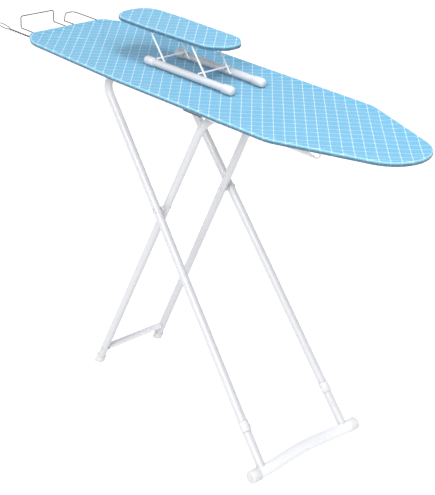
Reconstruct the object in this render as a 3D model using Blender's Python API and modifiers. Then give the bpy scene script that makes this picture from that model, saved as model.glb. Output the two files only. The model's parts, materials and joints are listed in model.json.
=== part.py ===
"""Folding ironing board with X legs, a wire iron rest and a loose sleeve board.

Metres, +Z up. The board's length runs along X, its square tail at -X and its round nose at +X.
Y runs across the board, from its near side (-Y) to its far side (+Y).
The origin is on the floor, under the middle of the whole object.
"""
import math

import bmesh
import bpy
from mathutils import Matrix, Vector

# ---------------------------------------------------------------- driving dimensions
GAP = 0.0003                     # clearance between pieces that touch
NEAR, FAR = -1, 1                # sides of the board along Y
SIDES = (("near", NEAR), ("far", FAR))

# Tabletop
TAIL_X = -0.490
NOSE_X = 0.660
BOARD_HALF_OUTLINE = (           # x, half width and corner radius, from tail to nose
    (TAIL_X, 0.1130, 0.022),
    (-0.430, 0.1495, 0.080),
    (-0.090, 0.1650, 0.500),
    (0.392, 0.1650, 0.100),
    (NOSE_X, 0.0628, 0.0905),
)
BOARD_TOP = 0.8176
COVER_THICKNESS = 0.001
COVER_DEPTH = 0.0078             # from the top of a cover to the lower edge of its skirt
PANEL_LIFT = 0.0018              # from there up to the underside of the deck panel
PANEL_THICKNESS = 0.0012
PAD_THICKNESS = 0.0032
RIM_RADIUS = 0.003
RIM_DROP = 0.0002                # clearance of the rim under the cover, on top of the gap

# Legs, as (x, z) in the side view
OUTER_HINGE = (-0.205, 0.778)
OUTER_FOOT = (0.413, 0.015)
CROSSING_SHARE = 0.345           # share of the outer leg above the crossing
INNER_TOP = (0.121, 0.757)
OUTER_TUBE_RADIUS = 0.0100
INNER_TUBE_RADIUS = 0.0095
TUBE_WALL = 0.0011
OUTER_HALF_WIDTH_TOP = 0.1055
OUTER_HALF_WIDTH_FOOT = 0.1372
INNER_HALF_WIDTH_TOP = 0.0837
INNER_HALF_WIDTH_FOOT = 0.0992
FOLD_ANGLE = math.radians(47.0)
FOLD_RATIO = 2.3715              # turn of the inner legs in the outer legs, per turn of the outer legs

# Feet of the outer legs
SOCKET_HEIGHT = 0.100
SOCKET_LENGTH = 0.026
SOCKET_RADIUS = 0.0117
FOOT_BAR_RADIUS = 0.014
FOOT_CAP_RADIUS = 0.015
FOOT_BAR_HALF_LENGTH = 0.152
FOOT_CAP_LENGTH = 0.025
FOOT_BAR_ARCH = 0.010
STAY_WIRE_RADIUS = 0.0018
INNER_FOOT_TOP = 0.020           # height at which the inner legs' foot caps begin
INNER_FOOT_PROFILE = ((0, 0.0103), (0.0012, 0.0113), (0.045, 0.0113))

# Tube across the inner legs' feet, pressed flat at its ends
CROSS_TUBE_Z = 0.047
CROSS_TUBE_RADIUS = 0.0080
CROSS_TUBE_WALL = 0.0012
CROSS_SCREW_PROFILE = ((0, 0.0034), (0.0010, 0.0034), (0.0018, 0.0022))

# Cross pivots
RIVET_RADIUS = 0.003
RIVET_HEAD_RADIUS = 0.0058
RIVET_HEAD_HEIGHT = 0.0018
SPACER_RADIUS = 0.0065

# Height rack and its lever
RACK_X = (0.096, 0.4155)
RACK_Z = (0.7436, 0.8040)
RACK_CORNER_RADII = (0.010, 0.0145, 0.006, 0.006)
SLOT_CLEARANCE = 0.0009
RACK_THICKNESS = 0.002
SPINE_X = (-0.250, 0.460)
SPINE_HALF_WIDTH = 0.020
SPINE_Z = (0.7920, 0.8048)
SHEET_THICKNESS = 0.0012
STRAP_Y = 0.049
STRAP_THICKNESS = 0.0016
STRAP_REACH = 0.030              # from the hinge to the end of each flange
STRAP_WIDTH = 0.022
STRAP_SCREW_REACH = 0.0215
LEVER_PIVOT = (0.200, 0.7845)
LEVER_ROD_RADIUS = 0.003
LEVER_CRANK_Y = -0.118           # where the rod turns up to the grip
LEVER_GRIP_Y = -0.137
LEVER_GRIP_Z = 0.7985
LEVER_GRIP_REACH = (0.032, 0.084)   # from the pivot to both ends of the grip, towards the tail
LEVER_GRIP_RADIUS = 0.0055
LEVER_GRIP_WALL = 0.0022
PAWL_HUB_RADIUS = 0.0075
PAWL_THICKNESS = 0.004
SPRING_TURNS = 5
SPRING_RADIUS = 0.0052
SPRING_WIRE_RADIUS = 0.0006
SPRING_PITCH = 0.0026

# Iron rest
REST_WIRE_RADIUS = 0.0015
REST_WIRE_Z = 0.8016
REST_INNER_X = -0.345
STOP_X = -0.587
STOP_TOP_Z = 0.8318
STOP_Y = (-0.068, 0.0335)
LOOP_Y = (0.0605, 0.134)
LOOP_TURN = (-0.577, -0.635, 0.108)     # x of the two bends and y of the slanted end of the loop
GUIDE_BLOCK_FROM_TAIL = (0.011, 0.035)
GUIDE_BLOCK_Y = (-0.112, 0.146)
CORD_GUIDE_Y = -0.0976
CORD_GUIDE_BORE = 0.0032

# Sleeve board
SLEEVE_CENTRE_Y = 0.0145
SLEEVE_HALF_OUTLINE = (          # x, half width and corner radius, from tail to nose
    (-0.2575, 0.0571, 0.050),
    (-0.1300, 0.0597, 0.120),
    (0.0710, 0.0536, 0.042),
    (0.1060, 0.0200, 0.026),
)
SLEEVE_TOP = 0.9100
SLEEVE_COVER_DEPTH = 0.0090
SLEEVE_PANEL_LIFT = 0.0004       # from the cover's skirt up to the panel's underside
SLEEVE_PANEL_THICKNESS = 0.0034
SLEEVE_PAD_THICKNESS = 0.0036
RAIL_Y = (-0.0378, 0.0572)
RAIL_X = (-0.132, 0.163)
RAIL_RADIUS = 0.009
RAIL_CAP_RADIUS = 0.0105
RAIL_CAP_LENGTH = 0.033
FRAME_WIRE_RADIUS = 0.0022
FRAME_FOOT_X = (-0.076, 0.064)
FRAME_LENGTH = 0.0875
FRAME_LEAN = math.radians(39.0)
RAIL_Z = BOARD_TOP + GAP + RAIL_CAP_RADIUS
FRAME_RISE = FRAME_LENGTH * math.cos(FRAME_LEAN)
FRAME_SHIFT = FRAME_LENGTH * math.sin(FRAME_LEAN)
RAIL_WALL = 0.0010
RAIL_CAP_PROFILE = (             # distance from the rail and radius
    (0, RAIL_CAP_RADIUS - 0.0008),
    (0.0012, RAIL_CAP_RADIUS),
    (RAIL_CAP_LENGTH - 0.006, RAIL_CAP_RADIUS),
    (RAIL_CAP_LENGTH - 0.0022, RAIL_CAP_RADIUS - 0.0018),
    (RAIL_CAP_LENGTH - 0.0005, RAIL_CAP_RADIUS - 0.0048),
    (RAIL_CAP_LENGTH, RAIL_CAP_RADIUS - 0.0080),
)
CLIP_THICKNESS = 0.0012
CLIP_REACH = 0.012               # from the wire to the end of each flange
CLIP_HALF_WIDTH = 0.015

# ---------------------------------------------------------------- scene and materials


def clear_scene():
    for old in list(bpy.data.objects):
        bpy.data.objects.remove(old, do_unlink=True)


def make_collection(name, hidden=False):
    collection = bpy.data.collections.new(name)
    bpy.context.scene.collection.children.link(collection)
    collection.hide_render = hidden
    return collection


clear_scene()
PARTS = make_collection("ironing_board")
CUTTERS = make_collection("cutters", hidden=True)

FINISHES = {                     # colour, roughness, metallic
    "white_tube": ((0.86, 0.86, 0.90), 0.30, 0.0),
    "white_plastic": ((0.84, 0.84, 0.86), 0.45, 0.0),
    "rest_steel": ((0.36, 0.36, 0.38), 0.30, 1.0),
    "zinc_steel": ((0.62, 0.63, 0.65), 0.38, 1.0),
    "deck_paint": ((0.80, 0.80, 0.82), 0.42, 0.0),
    "dark_plastic": ((0.16, 0.16, 0.18), 0.50, 0.0),
    "blue_cotton": ((0.33, 0.64, 0.86), 0.85, 0.0),
    "felt_pad": ((0.86, 0.85, 0.80), 0.95, 0.0),
}


def make_material(node, finish):
    """A Principled material of its own for one sub-part."""
    colour, roughness, metallic = FINISHES[finish]
    material = bpy.data.materials.new(node + "_finish")
    material.use_nodes = True
    shader = material.node_tree.nodes["Principled BSDF"]
    shader.inputs["Base Color"].default_value = (*colour, 1.0)
    shader.inputs["Roughness"].default_value = roughness
    shader.inputs["Metallic"].default_value = metallic
    return material


def add_part(node, data, finish, pivot=None):
    """Link a mesh or curve as a named sub-part; pivot moves its origin onto a joint axis."""
    part = bpy.data.objects.new(node, data)
    PARTS.objects.link(part)
    data.materials.clear()
    data.materials.append(make_material(node, finish))
    if pivot is not None:
        data.transform(Matrix.Translation(-Vector(pivot)))
        part.location = pivot
    return part


def shade_round(mesh):
    mesh.shade_smooth()
    mesh.set_sharp_from_angle(angle=math.radians(35))


# ---------------------------------------------------------------- paths and outlines


def fillet_path(points, radius, steps=5, closed=False):
    """Round the corners of a polyline; radius is one value or one for each point."""
    points = [Vector(p) for p in points]
    count = len(points)
    radii = radius if isinstance(radius, (list, tuple)) else [radius] * count
    path = []
    for index, corner in enumerate(points):
        if not closed and index in (0, count - 1):
            path.append(corner)
            continue
        back = (points[index - 1] - corner).normalized()
        ahead = (points[(index + 1) % count] - corner).normalized()
        half = back.angle(ahead) / 2
        tangent = radii[index] / math.tan(half)
        centre = corner + (back + ahead).normalized() * (radii[index] / math.sin(half))
        start = corner + back * tangent - centre
        end = corner + ahead * tangent - centre
        turn = start.angle(end)
        for step in range(steps + 1):
            share = step / steps
            blend = start * math.sin((1 - share) * turn) + end * math.sin(share * turn)
            path.append(centre + blend / math.sin(turn))
    return path


def inset_polygon(corners, inset):
    """Corners of a convex outline, listed anticlockwise, moved inwards by inset."""
    count = len(corners)
    moved = []
    for index in range(count):
        before = Vector(corners[index - 1])
        here = Vector(corners[index])
        after = Vector(corners[(index + 1) % count])
        edge_in = (here - before).normalized()
        edge_out = (after - here).normalized()
        normal_in = Vector((-edge_in.y, edge_in.x))
        normal_out = Vector((-edge_out.y, edge_out.x))
        slant = 1 + normal_in.dot(normal_out)
        moved.append(here + (normal_in + normal_out) * (inset / slant))
    return moved


def plan_outline(half_outline, centre_y, inset=0.0, steps=8):
    """A plan outline, symmetric about y = centre_y, from (x, half width, corner radius) rows."""
    near = [((x, centre_y - half), radius) for x, half, radius in half_outline]
    far = [((x, centre_y + half), radius) for x, half, radius in reversed(half_outline)]
    corners = [corner for corner, _ in near + far]
    radii = [radius - inset for _, radius in near + far]
    return fillet_path(inset_polygon(corners, inset), radii, steps, closed=True)


def board_outline(inset=0.0):
    """The tabletop's outline: clipped square tail, nearly straight sides, tapered round nose."""
    return plan_outline(BOARD_HALF_OUTLINE, 0.0, inset)


def sleeve_outline(inset=0.0):
    """The sleeve board's outline: blunt tail and an egg-shaped nose."""
    return plan_outline(SLEEVE_HALF_OUTLINE, SLEEVE_CENTRE_Y, inset)


# ---------------------------------------------------------------- shapes


def path_curve(name, points, radius, resolution=3, capped=True, closed=False):
    """A round bar along a path."""
    curve = bpy.data.curves.new(name, "CURVE")
    curve.dimensions = "3D"
    curve.bevel_depth = radius
    curve.bevel_resolution = resolution
    curve.use_fill_caps = capped and not closed
    spline = curve.splines.new("POLY")
    spline.points.add(len(points) - 1)
    for target, point in zip(spline.points, points):
        target.co = (*point, 1.0)
    spline.use_cyclic_u = closed
    return curve


def curve_mesh(curve):
    """Turn curve data into a mesh whose caps are welded on."""
    holder = bpy.data.objects.new(curve.name + "_path", curve)
    bpy.context.scene.collection.objects.link(holder)
    bpy.context.view_layer.update()
    evaluated = holder.evaluated_get(bpy.context.evaluated_depsgraph_get())
    mesh = bpy.data.meshes.new_from_object(evaluated)
    bpy.data.objects.remove(holder, do_unlink=True)
    work = bmesh.new()
    work.from_mesh(mesh)
    bmesh.ops.remove_doubles(work, verts=work.verts, dist=0.00001)
    bmesh.ops.recalc_face_normals(work, faces=work.faces)
    work.to_mesh(mesh)
    work.free()
    shade_round(mesh)
    return mesh


def bar(node, points, radius, finish, resolution=3, closed=False, pivot=None):
    """A solid round bar or wire."""
    mesh = curve_mesh(path_curve(node, points, radius, resolution, closed=closed))
    return add_part(node, mesh, finish, pivot)


def solidify(part, thickness, offset=-1.0):
    shell = part.modifiers.new("wall", "SOLIDIFY")
    shell.thickness = thickness
    shell.offset = offset
    shell.use_even_offset = True
    return part


def tube(node, points, radius, finish, wall=TUBE_WALL, resolution=3, pivot=None):
    """A hollow tube, open at its ends."""
    mesh = curve_mesh(path_curve(node, points, radius, resolution, capped=False))
    return solidify(add_part(node, mesh, finish, pivot), wall)


def prism_mesh(name, outline, direction):
    """A closed prism: a flat outline of 3D points, swept along a direction."""
    work = bmesh.new()
    base = work.faces.new([work.verts.new(p) for p in outline])
    swept = bmesh.ops.extrude_face_region(work, geom=[base])
    moved = [item for item in swept["geom"] if isinstance(item, bmesh.types.BMVert)]
    bmesh.ops.translate(work, verts=moved, vec=direction)
    bmesh.ops.recalc_face_normals(work, faces=work.faces)
    mesh = bpy.data.meshes.new(name)
    work.to_mesh(mesh)
    work.free()
    return mesh


def slab(node, outline, bottom, thickness, finish, pivot=None):
    """A flat plate with a plan outline."""
    raised = [(p[0], p[1], bottom) for p in outline]
    return add_part(node, prism_mesh(node, raised, (0, 0, thickness)), finish, pivot)


def lid(node, outline, bottom, top, wall, finish, pivot=None):
    """A shallow cap over a plan outline: a top with a skirt all round."""
    work = bmesh.new()
    low = [work.verts.new((p[0], p[1], bottom)) for p in outline]
    high = [work.verts.new((p[0], p[1], top)) for p in outline]
    for index in range(len(low)):
        work.faces.new((low[index - 1], low[index], high[index], high[index - 1]))
    work.faces.new(high)
    bmesh.ops.recalc_face_normals(work, faces=work.faces)
    mesh = bpy.data.meshes.new(node)
    work.to_mesh(mesh)
    work.free()
    return solidify(add_part(node, mesh, finish, pivot), wall)


def ribbon(node, path, sweep, thickness, finish, pivot=None):
    """Bent sheet metal: an open profile swept along a direction, with a thickness."""
    sweep = Vector(sweep)
    work = bmesh.new()
    first = [work.verts.new(p) for p in path]
    second = [work.verts.new(Vector(p) + sweep) for p in path]
    for index in range(len(path) - 1):
        work.faces.new((first[index], first[index + 1], second[index + 1], second[index]))
    mesh = bpy.data.meshes.new(node)
    work.to_mesh(mesh)
    work.free()
    return solidify(add_part(node, mesh, finish, pivot), thickness, offset=0.0)


def cylinder_mesh(name, start, end, radius, sides=20):
    """A cylinder between two points."""
    start, end = Vector(start), Vector(end)
    axis = end - start
    work = bmesh.new()
    turn = axis.to_track_quat("Z", "Y").to_matrix().to_4x4()
    place = Matrix.Translation((start + end) / 2) @ turn
    bmesh.ops.create_cone(work, cap_ends=True, segments=sides, radius1=radius, radius2=radius,
                          depth=axis.length, matrix=place)
    mesh = bpy.data.meshes.new(name)
    work.to_mesh(mesh)
    work.free()
    shade_round(mesh)
    return mesh


def turned_mesh(name, start, axis, profile, sides=20):
    """A turned piece: (distance, radius) pairs along an axis, closed at both ends."""
    work = bmesh.new()
    turn = Vector(axis).to_track_quat("Z", "Y").to_matrix().to_4x4()
    place = Matrix.Translation(start) @ turn
    rings = []
    for distance, radius in profile:
        ring = []
        for side in range(sides):
            angle = 2 * math.pi * side / sides
            local = Vector((radius * math.cos(angle), radius * math.sin(angle), distance))
            ring.append(work.verts.new(place @ local))
        rings.append(ring)
    for low, high in zip(rings, rings[1:]):
        for side in range(sides):
            work.faces.new((low[side - 1], low[side], high[side], high[side - 1]))
    work.faces.new(rings[0])
    work.faces.new(rings[-1])
    bmesh.ops.recalc_face_normals(work, faces=work.faces)
    mesh = bpy.data.meshes.new(name)
    work.to_mesh(mesh)
    work.free()
    shade_round(mesh)
    return mesh


def cut(part, mesh):
    """Cut a part with a closed mesh, kept as a hidden cutter."""
    cutter = bpy.data.objects.new(mesh.name, mesh)
    CUTTERS.objects.link(cutter)
    cutter.hide_render = True
    cutter.display_type = "WIRE"
    boolean = part.modifiers.new(mesh.name, "BOOLEAN")
    boolean.operation = "DIFFERENCE"
    boolean.solver = "EXACT"
    boolean.object = cutter
    return part


def drill(part, start, end, radius, sides=16):
    return cut(part, cylinder_mesh(part.name + "_hole", start, end, radius, sides))


# ---------------------------------------------------------------- leg geometry


def along(start, end, share):
    return Vector(start) + (Vector(end) - Vector(start)) * share


HINGE = Vector(OUTER_HINGE)
CROSSING = along(OUTER_HINGE, OUTER_FOOT, CROSSING_SHARE)
TOP_BAR = Vector(INNER_TOP)
INNER_FOOT = TOP_BAR + (CROSSING - TOP_BAR) * (TOP_BAR.y / (TOP_BAR.y - CROSSING.y))
OUTER_AXIS = (HINGE.x, 0, HINGE.y)
CROSSING_AXIS = (CROSSING.x, 0, CROSSING.y)
INNER_CROSSING_SHARE = (TOP_BAR.y - CROSSING.y) / TOP_BAR.y


def outer_point(share, side):
    """A point on an outer leg's centre line, share 0 at the hinge and 1 at the foot."""
    place = along(OUTER_HINGE, OUTER_FOOT, share)
    half = OUTER_HALF_WIDTH_TOP + (OUTER_HALF_WIDTH_FOOT - OUTER_HALF_WIDTH_TOP) * share
    return Vector((place.x, side * half, place.y))


def inner_point(share, side):
    """A point on an inner leg's centre line, share 0 at the top bar and 1 at the floor."""
    place = TOP_BAR + (INNER_FOOT - TOP_BAR) * share
    half = INNER_HALF_WIDTH_TOP + (INNER_HALF_WIDTH_FOOT - INNER_HALF_WIDTH_TOP) * share
    return Vector((place.x, side * half, place.y))


def outer_share_at(height):
    return (HINGE.y - height) / (HINGE.y - OUTER_FOOT[1])


def inner_share_at(height):
    return (TOP_BAR.y - height) / TOP_BAR.y


def top_bar_path(steps=24):
    """Where the inner legs' top bar goes as the legs fold, as (x, z) points."""
    outer_reach = CROSSING - HINGE
    inner_reach = TOP_BAR - CROSSING
    path = []
    for step in range(steps + 1):
        fold = FOLD_ANGLE * step / steps
        crossing = HINGE + Matrix.Rotation(fold, 2) @ outer_reach
        path.append(crossing + Matrix.Rotation(-(FOLD_RATIO - 1) * fold, 2) @ inner_reach)
    return path


# ---------------------------------------------------------------- tabletop


def build_deck():
    panel_bottom = BOARD_TOP - COVER_DEPTH + PANEL_LIFT
    rim_z = BOARD_TOP - COVER_THICKNESS - GAP * 2 - RIM_RADIUS - RIM_DROP
    rim_inset = COVER_THICKNESS + GAP + RIM_RADIUS
    inner_inset = rim_inset + RIM_RADIUS + GAP
    slab("deck_panel", board_outline(inner_inset), panel_bottom, PANEL_THICKNESS, "deck_paint")
    rim_path = [(p.x, p.y, rim_z) for p in board_outline(rim_inset)]
    bar("deck_rim", rim_path, RIM_RADIUS, "deck_paint", resolution=2, closed=True)
    pad_bottom = panel_bottom + PANEL_THICKNESS + GAP
    slab("board_pad", board_outline(inner_inset), pad_bottom, PAD_THICKNESS, "felt_pad")
    lid("board_cover", board_outline(), BOARD_TOP - COVER_DEPTH, BOARD_TOP, COVER_THICKNESS,
        "blue_cotton")


def deck_brace(node, centre_x, width, half_length):
    """A shallow cross channel under the deck panel."""
    high = BOARD_TOP - COVER_DEPTH + PANEL_LIFT - GAP
    low = SPINE_Z[1] + GAP + SHEET_THICKNESS / 2
    left, right = centre_x - width / 2, centre_x + width / 2
    path = [(left, -half_length, high), (left, -half_length, low),
            (right, -half_length, low), (right, -half_length, high)]
    ribbon(node, path, (0, 2 * half_length, 0), SHEET_THICKNESS, "deck_paint")


def build_spine():
    """The hat channel down the middle of the deck, which carries the rack."""
    wall = SPINE_HALF_WIDTH
    web = SPINE_Z[1] - SHEET_THICKNESS / 2
    path = [(SPINE_X[0], -wall, SPINE_Z[0]), (SPINE_X[0], -wall, web),
            (SPINE_X[0], wall, web), (SPINE_X[0], wall, SPINE_Z[0])]
    ribbon("spine_channel", path, (SPINE_X[1] - SPINE_X[0], 0, 0), SHEET_THICKNESS, "deck_paint")


def build_hinge_straps():
    """Saddle straps in which the outer legs' top bar turns, with their screws."""
    inner = OUTER_TUBE_RADIUS + GAP * 2 + STRAP_THICKNESS / 2
    flange_z = SPINE_Z[1] - STRAP_THICKNESS / 2 - GAP
    screw_z = flange_z - STRAP_THICKNESS / 2 - GAP
    for label, side in SIDES:
        start_y = side * STRAP_Y - STRAP_WIDTH / 2
        path = [(HINGE.x - STRAP_REACH, start_y, flange_z), (HINGE.x - inner, start_y, flange_z)]
        for step in range(13):
            angle = math.pi * step / 12
            path.append((HINGE.x - inner * math.cos(angle), start_y,
                         HINGE.y - inner * math.sin(angle)))
        path += [(HINGE.x + inner, start_y, flange_z), (HINGE.x + STRAP_REACH, start_y, flange_z)]
        ribbon("hinge_strap_" + label, path, (0, STRAP_WIDTH, 0), STRAP_THICKNESS, "zinc_steel")
        for end, sign in (("tail", -1), ("nose", 1)):
            place = (HINGE.x + sign * STRAP_SCREW_REACH, side * STRAP_Y, screw_z)
            head = turned_mesh("screw", place, (0, 0, -1), screw_profile(), sides=12)
            add_part("hinge_screw_%s_%s" % (label, end), head, "zinc_steel")


def screw_profile(radius=0.0042, height=0.0024):
    """A low domed screw head, from its bearing face outwards."""
    return [(0, radius), (height * 0.35, radius), (height * 0.75, radius * 0.72),
            (height, radius * 0.3)]


def half_turn(centre, start, steps=8):
    """Points between a start point and its opposite, anticlockwise round a centre."""
    arm = start - centre
    return [centre + Matrix.Rotation(math.pi * step / steps, 2) @ arm for step in range(1, steps)]


def slot_mesh():
    """The curved slot that guides the inner legs' top bar, through both rack plates."""
    clearance = INNER_TUBE_RADIUS + SLOT_CLEARANCE
    path = top_bar_path()
    below, above = [], []
    for index, point in enumerate(path):
        ahead = path[min(index + 1, len(path) - 1)] - path[max(index - 1, 0)]
        normal = Vector((-ahead.y, ahead.x)).normalized() * clearance
        below.append(point - normal)
        above.append(point + normal)
    outline = below + half_turn(path[-1], below[-1]) + above[::-1] + half_turn(path[0], above[0])
    start_y = -SPINE_HALF_WIDTH - 0.010
    points = [(x, start_y, z) for x, z in outline]
    return prism_mesh("rack_slot", points, (0, -2 * start_y, 0))


def build_rack():
    """Two plates hung from the spine, with the slot and the lever's pivot hole."""
    left, right = RACK_X
    low, high = RACK_Z
    corners = [(left, 0, low), (right, 0, low), (right, 0, high), (left, 0, high)]
    rounded = fillet_path(corners, RACK_CORNER_RADII, 4, closed=True)
    inner_face = SPINE_HALF_WIDTH + SHEET_THICKNESS / 2 + GAP
    pivot_x, pivot_z = LEVER_PIVOT
    for label, side in SIDES:
        outline = [(p.x, side * inner_face, p.z) for p in rounded]
        mesh = prism_mesh("rack_plate_" + label, outline, (0, side * RACK_THICKNESS, 0))
        plate = add_part("rack_plate_" + label, mesh, "zinc_steel")
        cut(plate, slot_mesh())
        bore_start = (pivot_x, side * (inner_face - RACK_THICKNESS), pivot_z)
        bore_end = (pivot_x, side * (inner_face + 2 * RACK_THICKNESS), pivot_z)
        drill(plate, bore_start, bore_end, LEVER_ROD_RADIUS + GAP * 1.5, 20)


def build_lever():
    """The release lever: a bent rod with a grip, and the parts on it."""
    pivot_x, pivot_z = LEVER_PIVOT
    axis = (pivot_x, 0, pivot_z)
    end_y = SPINE_HALF_WIDTH + 0.010
    grip_start, grip_end = pivot_x - LEVER_GRIP_REACH[0], pivot_x - LEVER_GRIP_REACH[1]
    rod_end = grip_end - 0.003
    route = [(pivot_x, end_y, pivot_z), (pivot_x, LEVER_CRANK_Y, pivot_z),
             (pivot_x - 0.018, LEVER_GRIP_Y, LEVER_GRIP_Z), (rod_end, LEVER_GRIP_Y, LEVER_GRIP_Z)]
    bar("release_lever", fillet_path(route, 0.006, 4), LEVER_ROD_RADIUS, "zinc_steel", 2, pivot=axis)
    grip_path = [(grip_start, LEVER_GRIP_Y, LEVER_GRIP_Z), (grip_end, LEVER_GRIP_Y, LEVER_GRIP_Z)]
    tube("lever_grip", grip_path, LEVER_GRIP_RADIUS, "dark_plastic", LEVER_GRIP_WALL, pivot=axis)
    build_pawl(axis)
    build_spring(axis)


def build_pawl(axis):
    """The pawl, keyed on the rod, with a tooth that stops just above the top bar."""
    pivot_x, pivot_z = LEVER_PIVOT
    tooth_x = TOP_BAR.x + INNER_TUBE_RADIUS + 0.0035
    under = TOP_BAR.y + INNER_TUBE_RADIUS + 0.0075
    tip = under - 0.0045
    outline = [(tooth_x - 0.018, under + 0.010), (tooth_x - 0.018, under + 0.001),
               (tooth_x - 0.002, under), (tooth_x, tip), (tooth_x + 0.004, tip),
               (tooth_x + 0.007, under + 0.001)]
    hub_start, hub_turn, hub_steps = math.radians(-100), math.radians(215), 12
    for step in range(hub_steps + 1):
        angle = hub_start + hub_turn * step / hub_steps
        outline.append((pivot_x + PAWL_HUB_RADIUS * math.cos(angle),
                        pivot_z + PAWL_HUB_RADIUS * math.sin(angle)))
    half = PAWL_THICKNESS / 2
    mesh = prism_mesh("lock_pawl", [(x, -half, z) for x, z in outline], (0, PAWL_THICKNESS, 0))
    pawl = add_part("lock_pawl", mesh, "zinc_steel", axis)
    bore = PAWL_THICKNESS * 2
    drill(pawl, (pivot_x, -bore, pivot_z), (pivot_x, bore, pivot_z), LEVER_ROD_RADIUS + GAP)


def build_spring(axis):
    """The torsion spring round the rod, with a straight leg at each end."""
    pivot_x, _, pivot_z = axis
    start_y = PAWL_THICKNESS * 1.5
    per_turn = 12
    coil = [(pivot_x + 0.012, start_y, pivot_z + SPRING_RADIUS)]
    for step in range(SPRING_TURNS * per_turn + 1):
        angle = math.pi / 2 + 2 * math.pi * step / per_turn
        coil.append((pivot_x + SPRING_RADIUS * math.cos(angle),
                     start_y + SPRING_PITCH * step / per_turn,
                     pivot_z + SPRING_RADIUS * math.sin(angle)))
    coil.append((pivot_x - 0.014, start_y + SPRING_PITCH * SPRING_TURNS, pivot_z + SPRING_RADIUS))
    bar("lever_spring", coil, SPRING_WIRE_RADIUS, "rest_steel", 1)


# ---------------------------------------------------------------- iron rest


def build_iron_rest():
    stop_path = [(REST_INNER_X, STOP_Y[0], REST_WIRE_Z), (STOP_X, STOP_Y[0], REST_WIRE_Z),
                 (STOP_X, STOP_Y[0], STOP_TOP_Z), (STOP_X, STOP_Y[1], STOP_TOP_Z),
                 (STOP_X, STOP_Y[1], REST_WIRE_Z), (REST_INNER_X, STOP_Y[1], REST_WIRE_Z)]
    bar("iron_stop_wire", fillet_path(stop_path, 0.005, 5), REST_WIRE_RADIUS, "rest_steel", 2)
    bend_x, end_x, slant_y = LOOP_TURN
    loop_path = [(REST_INNER_X, LOOP_Y[0]), (bend_x, LOOP_Y[0]), (end_x, slant_y),
                 (end_x, LOOP_Y[1]), (REST_INNER_X, LOOP_Y[1])]
    radii = [0, 0.004, 0.022, 0.011, 0]
    loop = fillet_path([(x, y, REST_WIRE_Z) for x, y in loop_path], radii, 6)
    bar("iron_rest_loop", loop, REST_WIRE_RADIUS, "rest_steel", 2)
    tie_z = REST_WIRE_Z - 2 * REST_WIRE_RADIUS - GAP
    tie_x = REST_INNER_X - 0.004
    bar("rest_tie_wire", [(tie_x, STOP_Y[0] - 0.004, tie_z), (tie_x, LOOP_Y[1] + 0.004, tie_z)],
        REST_WIRE_RADIUS, "rest_steel", 2)
    build_cord_guide()
    build_rest_guide()


def build_rest_guide():
    """The plastic block under the tail in which the wires of the iron rest slide."""
    left, right = (TAIL_X + distance for distance in GUIDE_BLOCK_FROM_TAIL)
    near_y, far_y = GUIDE_BLOCK_Y
    low, high = REST_WIRE_Z - 0.0050, BOARD_TOP - COVER_DEPTH - GAP
    outline = [(left, near_y, low), (right, near_y, low), (right, near_y, high), (left, near_y, high)]
    mesh = prism_mesh("rest_guide", outline, (0, far_y - near_y, 0))
    guide = add_part("rest_guide", mesh, "white_plastic")
    bores = [(y, REST_WIRE_RADIUS + GAP) for y in (*STOP_Y, *LOOP_Y)]
    bores.append((CORD_GUIDE_Y, CORD_GUIDE_BORE))
    for y, radius in bores:
        drill(guide, (left - 0.01, y, REST_WIRE_Z), (right + 0.01, y, REST_WIRE_Z), radius, 12)


def build_cord_guide():
    """One wire, doubled and twisted into a stem, with an open eye at its end."""
    wire = 0.00125
    strand = wire + GAP / 2 + 0.0001
    stem_start, stem_end = TAIL_X + 0.040, -0.596
    turns, per_turn = 7, 8
    count = turns * per_turn
    going, coming = [], []
    for step in range(count + 1):
        x = stem_start + (stem_end - stem_start) * step / count
        angle = 2 * math.pi * step / per_turn
        y, z = strand * math.cos(angle), strand * math.sin(angle)
        going.append((x, CORD_GUIDE_Y + y, REST_WIRE_Z + z))
        coming.append((x, CORD_GUIDE_Y - y, REST_WIRE_Z - z))
    eye_length, eye_half_width = 0.0617, 0.0075
    lean = math.radians(10)
    eye = []
    for step in range(1, 20):
        turn = math.pi * step / 10
        reach = eye_length * (1 - math.cos(turn)) / 2
        side = eye_half_width * math.sin(turn)
        x = stem_end - 0.002 - reach * math.cos(lean) + side * math.sin(lean) * 0.3
        y = CORD_GUIDE_Y + reach * math.sin(lean) + side
        eye.append((x, y, REST_WIRE_Z))
    bar("cord_guide", going + eye[1:-1] + coming[::-1], wire, "rest_steel", 1)


# ---------------------------------------------------------------- outer legs


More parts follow.
